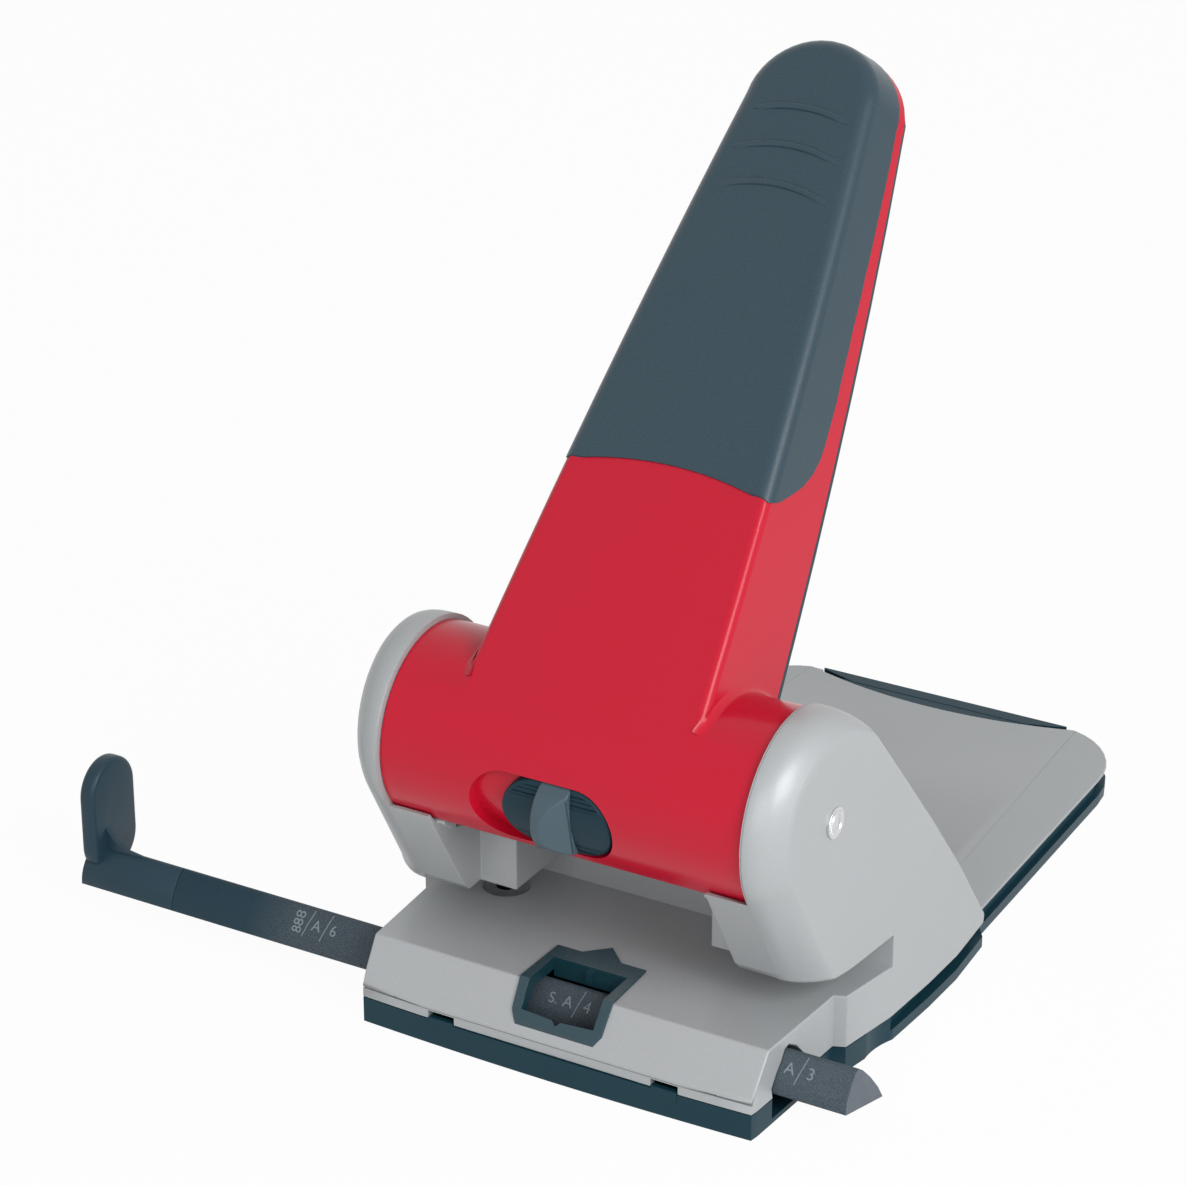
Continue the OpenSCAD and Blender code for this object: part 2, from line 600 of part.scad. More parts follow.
// ---- tray ----
tray_wall = 1.6;
foot_high = 3; // the tray's foot, and how far its wall stands in from it
wall_inset = 1.6;
rim_deep = 4.2; // the rim in the hollow of the deck
tray_rear_pts = concat([[cheek_side(slot_depth) - 2.6, cheek_back + 2.5]],
  [for (a = [0:15:60]) [tail_half + 0.5 - corner_wide * (1 - cos(a)), deck_rear - corner_long * (1 - sin(a))]],
  [[tail_half - corner_wide + 7, tail_end - 0.6], [tail_half - corner_wide + 4.5, tail_end]]);
tray_pts = concat(front_pts, side_pts, rear_side_pts, tray_rear_pts);
module tray_side_cut(x) {
  // the wall's inset along one side, behind the guide bar
  translate([0, 0, foot_high]) linear_extrude(far) polygon([[far, slot_depth], [x + 2, slot_depth], [x, slot_depth + 2],
    [x, side_end - 4], [cheek_side(slot_depth) - 2.6 - wall_inset, cheek_back + 2.5],
    [tail_half + 0.5 - wall_inset, deck_rear - corner_long],
    [tail_half + 0.5 - corner_wide * 0.134 - wall_inset, deck_rear - corner_long * 0.5 - 0.8],
    [tail_half - corner_wide * 0.5, deck_rear - corner_long * 0.134], [tail_half - corner_wide * 0.5 + 3, far], [far, far]]);
}
module bottom_tray() {
  color([0.08, 0.16, 0.2]) difference() {
    union() {
      difference() {
        linear_extrude(tray_rim) polygon(mirrored(tray_pts));
        both_sides() tray_side_cut(cheek_side(slot_depth) - wall_inset);
      }
      // rim in the hollow of the deck
      intersection() {
        translate([-tail_half, tail_end - rim_deep, tray_rim - 1]) cube([2 * tail_half, rim_deep, deck_height - deck_crown - tray_rim + 1]);
        translate([0, tail_end - bow_depth + bow_radius, 0]) cylinder(r = bow_radius - 2.4, h = far, $fn = 200);
      }
      // front tabs
      both_sides() translate([tab_x - tab_half, front_y + 0.35, tab_top - tab_high])
        cube([2 * tab_half, tray_wall, tab_high]);
    }
    // room for the chips
    translate([0, 0, tray_floor]) linear_extrude(far) polygon(mirrored(concat(
      [for (p = front_pts) [p[0] * 0.965, p[1] + tray_wall + 0.6]],
      [[table_half - tray_wall - 1, table_turn], [table_half + 1, table_turn + 4],
      [cheek_side(slot_depth) - tray_wall - 1.8, side_turn], [cheek_side(slot_depth) - tray_wall - 1.8, side_full],
      [cheek_side(slot_depth) - tray_wall - 4.4, cheek_back + 3],
      [tail_half - tray_wall - 1.6, deck_rear - corner_long],
      [tail_half - tray_wall - 4, tail_end - 16], [tail_half - tray_wall - 7, tail_end - bow_depth - 4]])));
    // room for the guide bar
    translate([0, -18.3, tray_floor]) cube([far, 22.7, far]);
    translate([-far, -18.3, tray_floor]) cube([far, 22.7, far]);
    // finger scoops
    both_sides() translate([cheek_side(slot_depth) + 20, (table_turn + slot_depth) / 2 + 1.7, -1])
      cylinder(r = 22, h = far);
    // room for the casting's lugs
    both_sides() translate([hinge_x - lug_half - gap, hinge_y - lug_long - gap, hinge_z - 1.5 - gap])
      cube([2 * (lug_half + gap), 12, 10]);
  }
  // hinge pins
  color([0.08, 0.16, 0.2]) both_sides() translate([hinge_x, hinge_y, hinge_z]) rotate([0, 90, 0])
    cylinder(r = hinge_pin, h = 2 * (lug_half + gap) + 1.6, center = true);
}

base_casting();
left_cheek();
right_cheek();
window_frame();
left_die();
right_die();
left_guide_bush();
right_guide_bush();
pivot_shaft();
lever_shell();
lever_back_cover();
grip_cover();
left_end_disc();
right_end_disc();
left_cam();
right_cam();
lock_knob();
lock_bolt();
left_punch_pin();
right_punch_pin();
left_punch_head();
right_punch_head();
left_return_spring();
right_return_spring();
guide_bar();
stop_plate();
bottom_tray();
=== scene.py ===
import json
import math

import bpy
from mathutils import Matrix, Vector

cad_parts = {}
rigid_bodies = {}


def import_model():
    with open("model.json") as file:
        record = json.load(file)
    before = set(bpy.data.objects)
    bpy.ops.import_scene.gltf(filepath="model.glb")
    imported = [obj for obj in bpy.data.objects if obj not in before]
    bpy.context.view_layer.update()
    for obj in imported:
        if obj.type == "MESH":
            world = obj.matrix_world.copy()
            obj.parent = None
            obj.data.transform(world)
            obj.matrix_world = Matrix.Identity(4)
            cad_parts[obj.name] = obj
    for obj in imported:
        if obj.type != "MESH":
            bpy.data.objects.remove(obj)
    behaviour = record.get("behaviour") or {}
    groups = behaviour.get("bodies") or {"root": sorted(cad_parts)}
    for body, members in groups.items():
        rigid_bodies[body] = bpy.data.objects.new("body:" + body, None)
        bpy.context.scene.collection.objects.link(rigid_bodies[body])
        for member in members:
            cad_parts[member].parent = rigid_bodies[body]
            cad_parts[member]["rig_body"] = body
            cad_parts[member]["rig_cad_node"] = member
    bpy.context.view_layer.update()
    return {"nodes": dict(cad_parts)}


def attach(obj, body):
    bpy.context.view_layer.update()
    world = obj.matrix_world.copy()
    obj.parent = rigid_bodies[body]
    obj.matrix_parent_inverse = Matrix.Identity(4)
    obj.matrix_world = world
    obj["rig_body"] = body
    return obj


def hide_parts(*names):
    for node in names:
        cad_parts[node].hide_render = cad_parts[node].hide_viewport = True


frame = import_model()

nodes = frame["nodes"]
mm = 0.001
axisHigh = 75  # the drum's axis above the desk, mm
print("frame loaded:", len(nodes), "nodes")

# camera and light

camera = {
    "place": (402.7, -705.0, 495.7),  # mm
    "looking": (-0.4538, 0.7861, -0.4197),
    "lens": 114.37,
}
bpy.ops.object.camera_add(location=[v * mm for v in camera["place"]])
photoCamera = bpy.context.object
photoCamera.name = "photoCamera"
photoCamera.rotation_euler = Vector(camera["looking"]).to_track_quat("-Z", "Y").to_euler()
photoCamera.data.lens = camera["lens"]
photoCamera.data.sensor_width = 36
photoCamera.data.clip_start = 0.05
bpy.context.scene.camera = photoCamera
bpy.context.scene.view_settings.view_transform = "Standard"

studio = {
    # place in metres, size in metres, power in watts
    "lamps": {"keyLamp": ((1.2, -0.5, 0.85), 0.8, 15.0), "frontLamp": ((0.3, -1.25, 0.62), 0.9, 4.4)},
    "aim": (0, 0.05, 0.08),
    "roomLight": 0.33,
    "floorSize": 8,
    "floorGrey": 0.86,
    "floorOwnLight": 0.96,  # share of white that the floor shows by itself
}


def addLamp(name, place, size, power):
    bpy.ops.object.light_add(type="AREA", location=place)
    lamp = bpy.context.object
    lamp.name = name
    lamp.data.size = size
    lamp.data.energy = power
    lamp.rotation_euler = (Vector(studio["aim"]) - Vector(place)).to_track_quat("-Z", "Y").to_euler()


for lampName, values in studio["lamps"].items():
    addLamp(lampName, *values)


def joinRays(tree):
    # 1 for rays from the camera, off shiny surfaces and through clear ones
    path = tree.nodes.new("ShaderNodeLightPath")
    first = tree.nodes.new("ShaderNodeMath")
    first.operation = "MAXIMUM"
    second = tree.nodes.new("ShaderNodeMath")
    second.operation = "MAXIMUM"
    tree.links.new(path.outputs["Is Camera Ray"], first.inputs[0])
    tree.links.new(path.outputs["Is Glossy Ray"], first.inputs[1])
    tree.links.new(first.outputs[0], second.inputs[0])
    tree.links.new(path.outputs["Is Transmission Ray"], second.inputs[1])
    return second.outputs[0]


def whiteRoom():
    # soft light on the object, plain white behind it and in its reflections
    world = bpy.data.worlds.new("room")
    bpy.context.scene.world = world
    world.use_nodes = True
    tree = world.node_tree
    tree.nodes.clear()
    out = tree.nodes.new("ShaderNodeOutputWorld")
    mix = tree.nodes.new("ShaderNodeMixShader")
    tree.links.new(joinRays(tree), mix.inputs["Fac"])
    for i, strength in ((1, studio["roomLight"]), (2, 1)):  # soft, then white
        light = tree.nodes.new("ShaderNodeBackground")
        light.inputs["Color"].default_value = (1, 1, 1, 1)
        light.inputs["Strength"].default_value = strength
        tree.links.new(light.outputs[0], mix.inputs[i])
    tree.links.new(mix.outputs[0], out.inputs["Surface"])


def whiteFloor():
    bpy.ops.mesh.primitive_plane_add(size=studio["floorSize"], location=(0, 0, -0.2 * mm))
    floor = bpy.context.object
    floor.name = "floor"
    paper = bpy.data.materials.new("paperFloor")
    paper.use_nodes = True
    tree = paper.node_tree
    surface = tree.nodes["Principled BSDF"]
    surface.inputs["Base Color"].default_value = (studio["floorGrey"],) * 3 + (1,)
    surface.inputs["Roughness"].default_value = 0.9
    glow = tree.nodes.new("ShaderNodeEmission")
    mix = tree.nodes.new("ShaderNodeMixShader")
    share = tree.nodes.new("ShaderNodeMath")
    share.operation = "MULTIPLY"
    share.inputs[1].default_value = studio["floorOwnLight"]
    tree.links.new(joinRays(tree), share.inputs[0])
    tree.links.new(share.outputs[0], mix.inputs["Fac"])
    tree.links.new(surface.outputs[0], mix.inputs[1])
    tree.links.new(glow.outputs[0], mix.inputs[2])
    tree.links.new(mix.outputs[0], tree.nodes["Material Output"].inputs["Surface"])
    floor.data.materials.append(paper)


whiteRoom()
whiteFloor()
print("camera, lamps and floor set")

# finishes


def noise(tree, place, scale, detail):
    made = tree.nodes.new("ShaderNodeTexNoise")
    made.inputs["Scale"].default_value = scale
    made.inputs["Detail"].default_value = detail
    tree.links.new(place.outputs["Object"], made.inputs["Vector"])
    return made.outputs["Fac"]


def mixed(tree, share, first, second):
    # two colours, each a plain one or another node's, mixed by share
    mix = tree.nodes.new("ShaderNodeMix")
    mix.data_type = "RGBA"
    tree.links.new(share, mix.inputs["Factor"])
    for socket, colour in ((mix.inputs[6], first), (mix.inputs[7], second)):
        if isinstance(colour, tuple):
            socket.default_value = (*colour, 1)
        else:
            tree.links.new(colour, socket)
    return mix.outputs[2]


def finish(name, colour, second, patch, rough, grain, gloss=0.5, roughSpread=0.05, metal=0.0, coat=0.0,
           grainSize=0.4, speck=None, fade=None):
    # a moulded or painted surface: two close colours in soft patches, uneven gloss and a fine grain (mm)
    material = bpy.data.materials.new(name)
    material.use_nodes = True
    tree = material.node_tree
    surface = tree.nodes["Principled BSDF"]
    surface.inputs["Metallic"].default_value = metal
    surface.inputs["Specular IOR Level"].default_value = gloss
    surface.inputs["Coat Weight"].default_value = coat
    surface.inputs["Coat Roughness"].default_value = 0.06
    place = tree.nodes.new("ShaderNodeTexCoord")
    soft = noise(tree, place, patch, 3)
    fine = noise(tree, place, 1000 / grainSize, 4)
    shown = mixed(tree, soft, colour, second)
    if speck:  # (colour, share): bright grains in the surface
        ramp = tree.nodes.new("ShaderNodeValToRGB")
        start, end = ramp.color_ramp.elements
        start.position, end.position = 0.34, 0.66
        start.color = (0, 0, 0, 1)
        end.color = (speck[1],) * 3 + (1,)
        tree.links.new(fine, ramp.inputs["Fac"])
        shown = mixed(tree, ramp.outputs["Color"], shown, speck[0])
    if fade:  # (from x, to x, colour before from): one end of the piece has another colour
        split = tree.nodes.new("ShaderNodeSeparateXYZ")
        tree.links.new(place.outputs["Object"], split.inputs["Vector"])
        along = tree.nodes.new("ShaderNodeMapRange")
        along.inputs["From Min"].default_value = fade[0] * mm
        along.inputs["From Max"].default_value = fade[1] * mm
        tree.links.new(split.outputs["X"], along.inputs["Value"])
        shown = mixed(tree, along.outputs["Result"], fade[2], shown)
    tree.links.new(shown, surface.inputs["Base Color"])
    spread = tree.nodes.new("ShaderNodeMapRange")
    spread.inputs["To Min"].default_value = rough - roughSpread
    spread.inputs["To Max"].default_value = rough + roughSpread
    tree.links.new(soft, spread.inputs["Value"])
    tree.links.new(spread.outputs["Result"], surface.inputs["Roughness"])
    bump = tree.nodes.new("ShaderNodeBump")
    bump.inputs["Strength"].default_value = grain
    bump.inputs["Distance"].default_value = 0.1 * mm
    tree.links.new(fine, bump.inputs["Height"])
    tree.links.new(bump.outputs["Normal"], surface.inputs["Normal"])
    return material


redPaint = finish("redPaint", (0.59, 0.005, 0.029), (0.575, 0.005, 0.028), patch=25, rough=0.28, roughSpread=0.01,
                  coat=0.15, grain=0.04, grainSize=1.2, gloss=0.24)
softGrip = finish("softGrip", (0.015, 0.044, 0.065), (0.012, 0.038, 0.058), patch=40, rough=0.33, grain=0.3,
                  grainSize=0.35, gloss=0.5, speck=((0.045, 0.090, 0.115), 0.3))
castSilver = finish("castSilver", (0.43, 0.45, 0.46), (0.41, 0.43, 0.44), patch=30, rough=0.42, metal=0.12, coat=0.12,
                    grain=0.12, grainSize=0.3, gloss=0.4, speck=((0.60, 0.62, 0.64), 0.2))
trayPlastic = finish("trayPlastic", (0.008, 0.044, 0.064), (0.006, 0.036, 0.053), patch=30, rough=0.4, grain=0.12,
                     gloss=0.2)
knobPlastic = finish("knobPlastic", (0.008, 0.036, 0.054), (0.007, 0.031, 0.046), patch=50, rough=0.4, grain=0.2,
                     gloss=0.2)
# painted light: the fin is the knob's slate plastic, coloured lighter to stand in for light on its tilted face
paintedLitFinPlastic = finish("paintedLitFinPlastic", (0.072, 0.115, 0.142), (0.062, 0.10, 0.125), patch=50, rough=0.4, grain=0.2,
                    gloss=0.3)
barGrain = finish("barGrain", (0.040, 0.060, 0.078), (0.034, 0.052, 0.068), patch=80, rough=0.6, grain=0.8,
                  grainSize=0.3, gloss=0.2, speck=((0.13, 0.16, 0.18), 0.6), fade=(-98, -84, (0.020, 0.050, 0.072)))
sleevePlastic = finish("sleevePlastic", (0.020, 0.050, 0.072), (0.017, 0.044, 0.064), patch=60, rough=0.38,
                       grain=0.15, gloss=0.25)
framePlastic = finish("framePlastic", (0.010, 0.048, 0.066), (0.008, 0.041, 0.057), patch=60, rough=0.28, grain=0.1,
                      gloss=0.6)
polishedSteel = finish("polishedSteel", (0.72, 0.73, 0.74), (0.62, 0.63, 0.64), patch=500, rough=0.22, metal=1.0,
                       grain=0.1)
springSteel = finish("springSteel", (0.55, 0.56, 0.58), (0.42, 0.43, 0.45), patch=400, rough=0.3, metal=1.0,
                     grain=0.1)
turnedBrass = finish("turnedBrass", (0.68, 0.50, 0.22), (0.60, 0.43, 0.18), patch=400, rough=0.3, metal=1.0,
                     grain=0.1)
# painted light: a paler colour for the bar's end face, where the key lamp falls on it; its grain is also softer
paintedLitBarEnd = finish("paintedLitBarEnd", (0.15, 0.17, 0.20), (0.12, 0.14, 0.165), patch=300, rough=0.6, grain=0.5, grainSize=0.3,
                gloss=0.2)
markPaint = finish("markPaint", (0.27, 0.31, 0.34), (0.20, 0.24, 0.27), patch=900, rough=0.6, grain=0.2, gloss=0.2)
print("finishes made")

# ways of working


def only(piece):
    bpy.ops.object.select_all(action="DESELECT")
    piece.select_set(True)
    bpy.context.view_layer.objects.active = piece


def editing(on):
    bpy.ops.object.mode_set(mode="EDIT" if on else "OBJECT")


def chooseFaces(piece, test):
    # in object mode; test gets a face's middle in mm and its normal
    for group in (piece.data.vertices, piece.data.edges):
        for item in group:
            item.select = False
    for p in piece.data.polygons:
        p.select = bool(test(Vector(p.center) / mm, p.normal))


def chooseEdges(piece, test, sharp=0):
    # in object mode; test gets the edge's two ends in mm, and sharp leaves out flatter edges
    only(piece)
    editing(True)
    bpy.ops.mesh.select_mode(type="EDGE")
    bpy.ops.mesh.select_all(action="DESELECT" if sharp else "SELECT")
    if sharp:
        bpy.ops.mesh.edges_select_sharp(sharpness=math.radians(sharp))
    editing(False)
    verts = piece.data.vertices
    wanted = [e.index for e in piece.data.edges if e.select and
              test(*(Vector(verts[i].co) / mm for i in e.vertices))]
    for group in (piece.data.polygons, verts, piece.data.edges):
        for item in group:
            item.select = False
    for i in wanted:
        piece.data.edges[i].select = True


def bevelChosen(piece, width, segments):
    only(piece)
    editing(True)
    bpy.ops.mesh.select_mode(type="EDGE")
    editing(False)
    editing(True)
    bpy.ops.mesh.bevel(offset=width * mm, segments=segments, affect="EDGES", clamp_overlap=False)
    editing(False)


def applyModifier(piece, kind, **settings):
    only(piece)
    bpy.ops.object.modifier_add(type=kind)
    modifier = piece.modifiers[-1]
    for key, value in settings.items():
        setattr(modifier, key, value)
    bpy.ops.object.modifier_apply(modifier=modifier.name)


def cutWith(piece, tool, how="DIFFERENCE"):
    applyModifier(piece, "BOOLEAN", operation=how, solver="EXACT", object=tool)
    bpy.data.objects.remove(tool)


def settle(piece, name=None):
    # the piece's place goes into its mesh
    only(piece)
    bpy.ops.object.transform_apply(location=True, rotation=True, scale=True)
    if name:
        piece.name = name
        piece.data.name = name
    return piece


def tidyMesh(piece, flat=0.3):
    only(piece)
    editing(True)
    bpy.ops.mesh.select_all(action="SELECT")
    bpy.ops.mesh.remove_doubles(threshold=0.004 * mm)
    bpy.ops.mesh.dissolve_limited(angle_limit=math.radians(flat))
    editing(False)


def slicePiece(piece, place, across=(0, 1, 0), **how):
    # new edges where a plane through place (mm) meets the piece; how says which part goes
    only(piece)
    editing(True)
    bpy.ops.mesh.select_all(action="SELECT")
    bpy.ops.mesh.bisect(plane_co=[c * mm for c in place], plane_no=across, **how)
    editing(False)


def dress(piece, material, angle, weigh=True):
    # paint it, and shade it smooth where faces meet at less than this angle
    piece.data.materials.clear()
    piece.data.materials.append(material)
    only(piece)
    bpy.ops.object.shade_smooth_by_angle(angle=math.radians(angle))
    if weigh:
        applyModifier(piece, "WEIGHTED_NORMAL", keep_sharp=True)


def copyOf(node, name):
    # a copy of a CAD node to round off, with its own mesh
    only(nodes[node])
    bpy.ops.object.duplicate()
    piece = bpy.context.object
    bpy.ops.object.parent_clear(type="CLEAR_KEEP_TRANSFORM")
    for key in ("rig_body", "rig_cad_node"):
        if key in piece:
            del piece[key]
    piece.name = name
    piece.data.name = name
    tidyMesh(piece)
    return piece


def roundOff(piece, width):
    applyModifier(piece, "BEVEL", width=width * mm, segments=3, limit_method="ANGLE", angle_limit=math.radians(28),
                  use_clamp_overlap=True, miter_outer="MITER_ARC")


def drawLoop(points):
    # a closed outline in edit mode, point by point (mm)
    bpy.ops.mesh.select_mode(type="VERT")
    bpy.ops.mesh.select_all(action="DESELECT")
    bpy.ops.mesh.primitive_plane_add(size=0.0001, location=[c * mm for c in points[0]])
    bpy.ops.mesh.merge(type="CENTER")
    for a, b in zip(points, points[1:]):
        bpy.ops.mesh.extrude_region_move(TRANSFORM_OT_translate={"value": [(q - p) * mm for p, q in zip(a, b)]})


def emptyPiece(name):
    # a new piece without faces, left in edit mode
    bpy.ops.object.select_all(action="DESELECT")
    bpy.ops.mesh.primitive_plane_add(size=0.0001)
    piece = bpy.context.object
    piece.name = name
    editing(True)
    bpy.ops.mesh.select_all(action="SELECT")
    bpy.ops.mesh.delete(type="VERT")
    return piece


def facesOutward():
    # in edit mode
    bpy.ops.mesh.select_all(action="SELECT")
    bpy.ops.mesh.normals_make_consistent(inside=False)


def drawPrism(name, points, move):
    # the outline drawn out along move (mm)
    piece = emptyPiece(name)
    drawLoop(points)
    bpy.ops.mesh.select_all(action="SELECT")
    bpy.ops.mesh.edge_face_add()
    bpy.ops.mesh.select_all(action="SELECT")
    bpy.ops.mesh.extrude_region_move(TRANSFORM_OT_translate={"value": [c * mm for c in move]})
    facesOutward()
    editing(False)
    return piece


def drawSkin(name, loops, *ends):
    # closed outlines bridged one to the next; ends are tests for the edges of the first and the last
    piece = emptyPiece(name)
    for loop in loops:
        drawLoop(loop + loop[:1])
    bpy.ops.mesh.select_all(action="SELECT")
    bpy.ops.mesh.remove_doubles(threshold=0.002 * mm)
    bpy.ops.mesh.select_mode(type="EDGE")
    bpy.ops.mesh.select_all(action="SELECT")
    bpy.ops.mesh.bridge_edge_loops()
    editing(False)
    for test in ends:
        chooseEdges(piece, test)
        editing(True)
        bpy.ops.mesh.edge_face_add()
        editing(False)
    editing(True)
    facesOutward()
    editing(False)
    return piece


def ready(piece, body, slot, *replaced):
    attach(piece, body)
    if replaced:
        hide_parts(*replaced)


def polar(radius, degrees, middle=(0, axisHigh)):
    # a point on a circle, unless told otherwise round the drum's axis
    turn = math.radians(degrees)
    return (middle[0] + radius * math.cos(turn), middle[1] + radius * math.sin(turn))


def fromAxis(p):
    return math.hypot(p.y, p.z - axisHigh)


def roundBar(radius, length=120, name="roundBar", segments=144):
    # along the drum's axis; without a length it is a cutting tool, longer than the drum
    bpy.ops.mesh.primitive_cylinder_add(vertices=segments, radius=radius * mm, depth=length * mm,
                                        location=(0, 0, axisHigh * mm), rotation=(0, math.pi / 2, 0))
    return settle(bpy.context.object, name)


def turned(piece, degrees, name=None):
    # from its own frame to its place round the drum's axis
    piece.rotation_euler = (math.radians(degrees), 0, 0)
    piece.location = (0, 0, axisHigh * mm)
    return settle(piece, name)


def arcBlock(name, x, length, radii, angles, step):
    # part of a ring round the drum's axis, from x along its length
    turns = range(angles[0], angles[1] + 1, step)
    points = [(x, *polar(radii[1], a)) for a in turns] + [(x, *polar(radii[0], a)) for a in reversed(turns)]
    return drawPrism(name, points, (length, 0, 0))


def box(name, low, high):
    # a block between two corners (mm)
    bpy.ops.object.select_all(action="DESELECT")
    bpy.ops.mesh.primitive_cube_add(size=1, location=[(a + b) / 2 * mm for a, b in zip(low, high)],
                                    scale=[(b - a) * mm for a, b in zip(low, high)])
    return settle(bpy.context.object, name)


# lever, grip and drum

drum = {
    "radius": 25, "wall": 2.2, "length": 99.1,
    "opening": (222.6, 270, 345),  # angles of the open underside
    # room for the punches' heads when the lever comes down, with the radius and angle of its corners
    "punchAt": 40, "headHalf": 7, "headRoom": ((19, 13), (60, 13), (60, -60), (19, -60)),
}
lever = {
    "slope": 46.6, "rootHalf": 32.7, "tipHalf": 16.4, "tipAt": 169.8, "bow": 0.375, "flare": 3.2,
    "front": 24.88, "rearRoot": -9.1, "rearClimb": 0.1034,
    "cover": 2.0106,  # the back cover's thickness, measured across the lever and not across its sloping back
    "tipFlare": 0.08,  # the back spreads a little more towards the tip
    "crease": 2.3,  # rounding along the front's edges
    "root": 1.8,  # fillet where the arm leaves the drum
}
grip = {
    "proud": 0.5, "thick": 0.8, "moreCrease": 1.0, "start": 69.2, "arch": 96,
    # outline on the lever's sides: place along the grip, height
    "side": [(-2, 26.5), (-3.5, 24), (-1.5, 20.2), (2.5, 16), (6, 12.6), (10, 10.2), (14.5, 8.9), (19, 8.5),
             (30, 8.8), (42, 9.8), (66, 11.2), (93, 12.8), (116, 15.2), (135, 18), (135, 40), (-12, 40)],
    "ribs": 3, "ribGap": 10.6, "ribArc": 38, "ribFirst": 2.6, "ribRound": 1.0, "ribSunk": 0.15,
    "ribHalf": 21, "ribSpread": 2.3,  # half the first rib's angle, and what each next one adds
    "ribFade": 0.85,  # how far the ends sink into the grip
}


def leverHalf(share):
    # half the front's width at this share of the way to the tip
    bowed = (1 - lever["bow"]) * share + lever["bow"] * share * share
    return lever["rootHalf"] - (lever["rootHalf"] - lever["tipHalf"]) * bowed


def tipSpread(along):
    return 1 + lever["tipFlare"] * min(1, max(0, along / lever["tipAt"]))


def armOutline(grow, level):
    # half outline from the drum to the tip, then mirrored; level gives the height for a place along the lever
    tipAt, tipRadius = lever["tipAt"], lever["tipHalf"] + grow
    half = [(leverHalf(i / 12) + grow, tipAt * i / 12) for i in range(13)]
    half += [polar(tipRadius, a, (0, tipAt)) for a in range(8, 90, 8)]
    points = half + [(0, tipAt + tipRadius)] + [(-x, u) for x, u in reversed(half)]
    return [(x, u, level(u)) for x, u in points]


def armForm(name, grow, crease):
    # the arm above its back cover, in the lever's own frame, then turned into place
    front = armOutline(grow, lambda u: lever["front"] + grow)
    rearHigh = lever["rearRoot"] + lever["cover"]
    rear = armOutline(grow + lever["flare"], lambda u: rearHigh + lever["rearClimb"] * u)
    rear = [(x * tipSpread(u), u, z) for x, u, z in rear]
    top = lever["front"] + grow - 0.01
    piece = drawSkin(name, (front, rear), lambda a, b: min(a.z, b.z) > top, lambda a, b: max(a.z, b.z) < 16)
    chooseEdges(piece, lambda a, b: min(a.z, b.z) > top and max(a.y, b.y) > 0.1)
    bevelChosen(piece, crease, 5)
    return turned(piece, lever["slope"], name)


def gripZone():
    # what the grip covers of the lever, with an arched end towards the drum
    zone = drawPrism("gripZone", [(-60, grip["start"] + u, v) for u, v in grip["side"]], (120, 0, 0))
    bpy.ops.mesh.primitive_cylinder_add(vertices=240, radius=grip["arch"] * mm, depth=120 * mm,
                                        location=(0, (grip["start"] - grip["arch"]) * mm, 30 * mm))
    cutWith(zone, settle(bpy.context.object))
    return turned(zone, lever["slope"])


def makeRib(i):
    # an arched rib for the thumb, which fades out to its ends
    middle = lever["tipAt"] - grip["ribFirst"] - grip["ribGap"] * i - grip["ribArc"]
    half = math.radians(grip["ribHalf"] + grip["ribSpread"] * i)
    high = lever["front"] + grip["proud"] - grip["ribSunk"]
    bpy.ops.object.select_all(action="DESELECT")
    bpy.ops.mesh.primitive_torus_add(major_segments=160, minor_segments=12, major_radius=grip["ribArc"] * mm,
                                     minor_radius=grip["ribRound"] * mm, location=(0, middle * mm, high * mm))
    rib = settle(bpy.context.object, "rib")
    slicePiece(rib, (0, middle + grip["ribArc"] * math.cos(half), 0), use_fill=True, clear_inner=True)
    for v in rib.data.vertices:
        share = abs(v.co.x / mm) / (grip["ribArc"] * math.sin(half))
        v.co.z -= grip["ribFade"] * mm * share ** 4
    return turned(rib, lever["slope"])


def makeGrip():
    cover = armForm("gripCover", grip["proud"], lever["crease"] + grip["moreCrease"])
    cutWith(cover, gripZone(), "INTERSECT")
    cutWith(cover, armForm("core", -grip["thick"], lever["crease"]))
    for i in range(grip["ribs"]):
        cutWith(cover, makeRib(i), "UNION")
    return cover


def makeLeverBody():
    radius = drum["radius"]
    body = roundBar(radius, drum["length"], "leverBody")
    cutWith(body, armForm("arm", 0, lever["crease"]), "UNION")
    tidyMesh(body, 0.2)

    def onRoot(a, b):
        # edges where the arm's sides meet the drum
        near = all(abs(fromAxis(p) - radius) < 0.05 for p in (a, b))
        return near and max(abs(a.x), abs(b.x)) < 45 and abs(a.x - b.x) < 1.2 and min(a.z, b.z) > axisHigh - 8
    chooseEdges(body, onRoot, 34)
    bevelChosen(body, lever["root"], 5)
    # the drum's wall, the room for the knob and the open underside
    cutWith(body, roundBar(radius - drum["wall"], 110, segments=120))
    floorAt = radius - knob["depth"]
    recess = stadium("recess", knob["slotLength"], knob["slotHigh"], knob["slotMiddle"], 10)
    cutWith(recess, roundBar(floorAt))
    more = 2 * knob["pocketWall"]
    pocket = stadium("pocket", knob["slotLength"] + more, knob["slotHigh"] + more, knob["slotMiddle"], 10)
    cutWith(pocket, roundBar(knob["pocketTop"]), "INTERSECT")
    cutWith(pocket, roundBar(floorAt - knob["pocketWall"]))
    cutWith(body, pocket, "UNION")
    cutWith(body, recess)
    opening = [(-60, 0, axisHigh)] + [(-60, *polar(60, a)) for a in drum["opening"]]
    cutWith(body, drawPrism("opening", opening, (120, 0, 0)))
    for middle in (-drum["punchAt"], drum["punchAt"]):
        room = [(middle - drum["headHalf"], *polar(r, a)) for r, a in drum["headRoom"]]
        cutWith(body, drawPrism("headRoom", room, (2 * drum["headHalf"], 0, 0)))
    tidyMesh(body, 0.2)
    return body


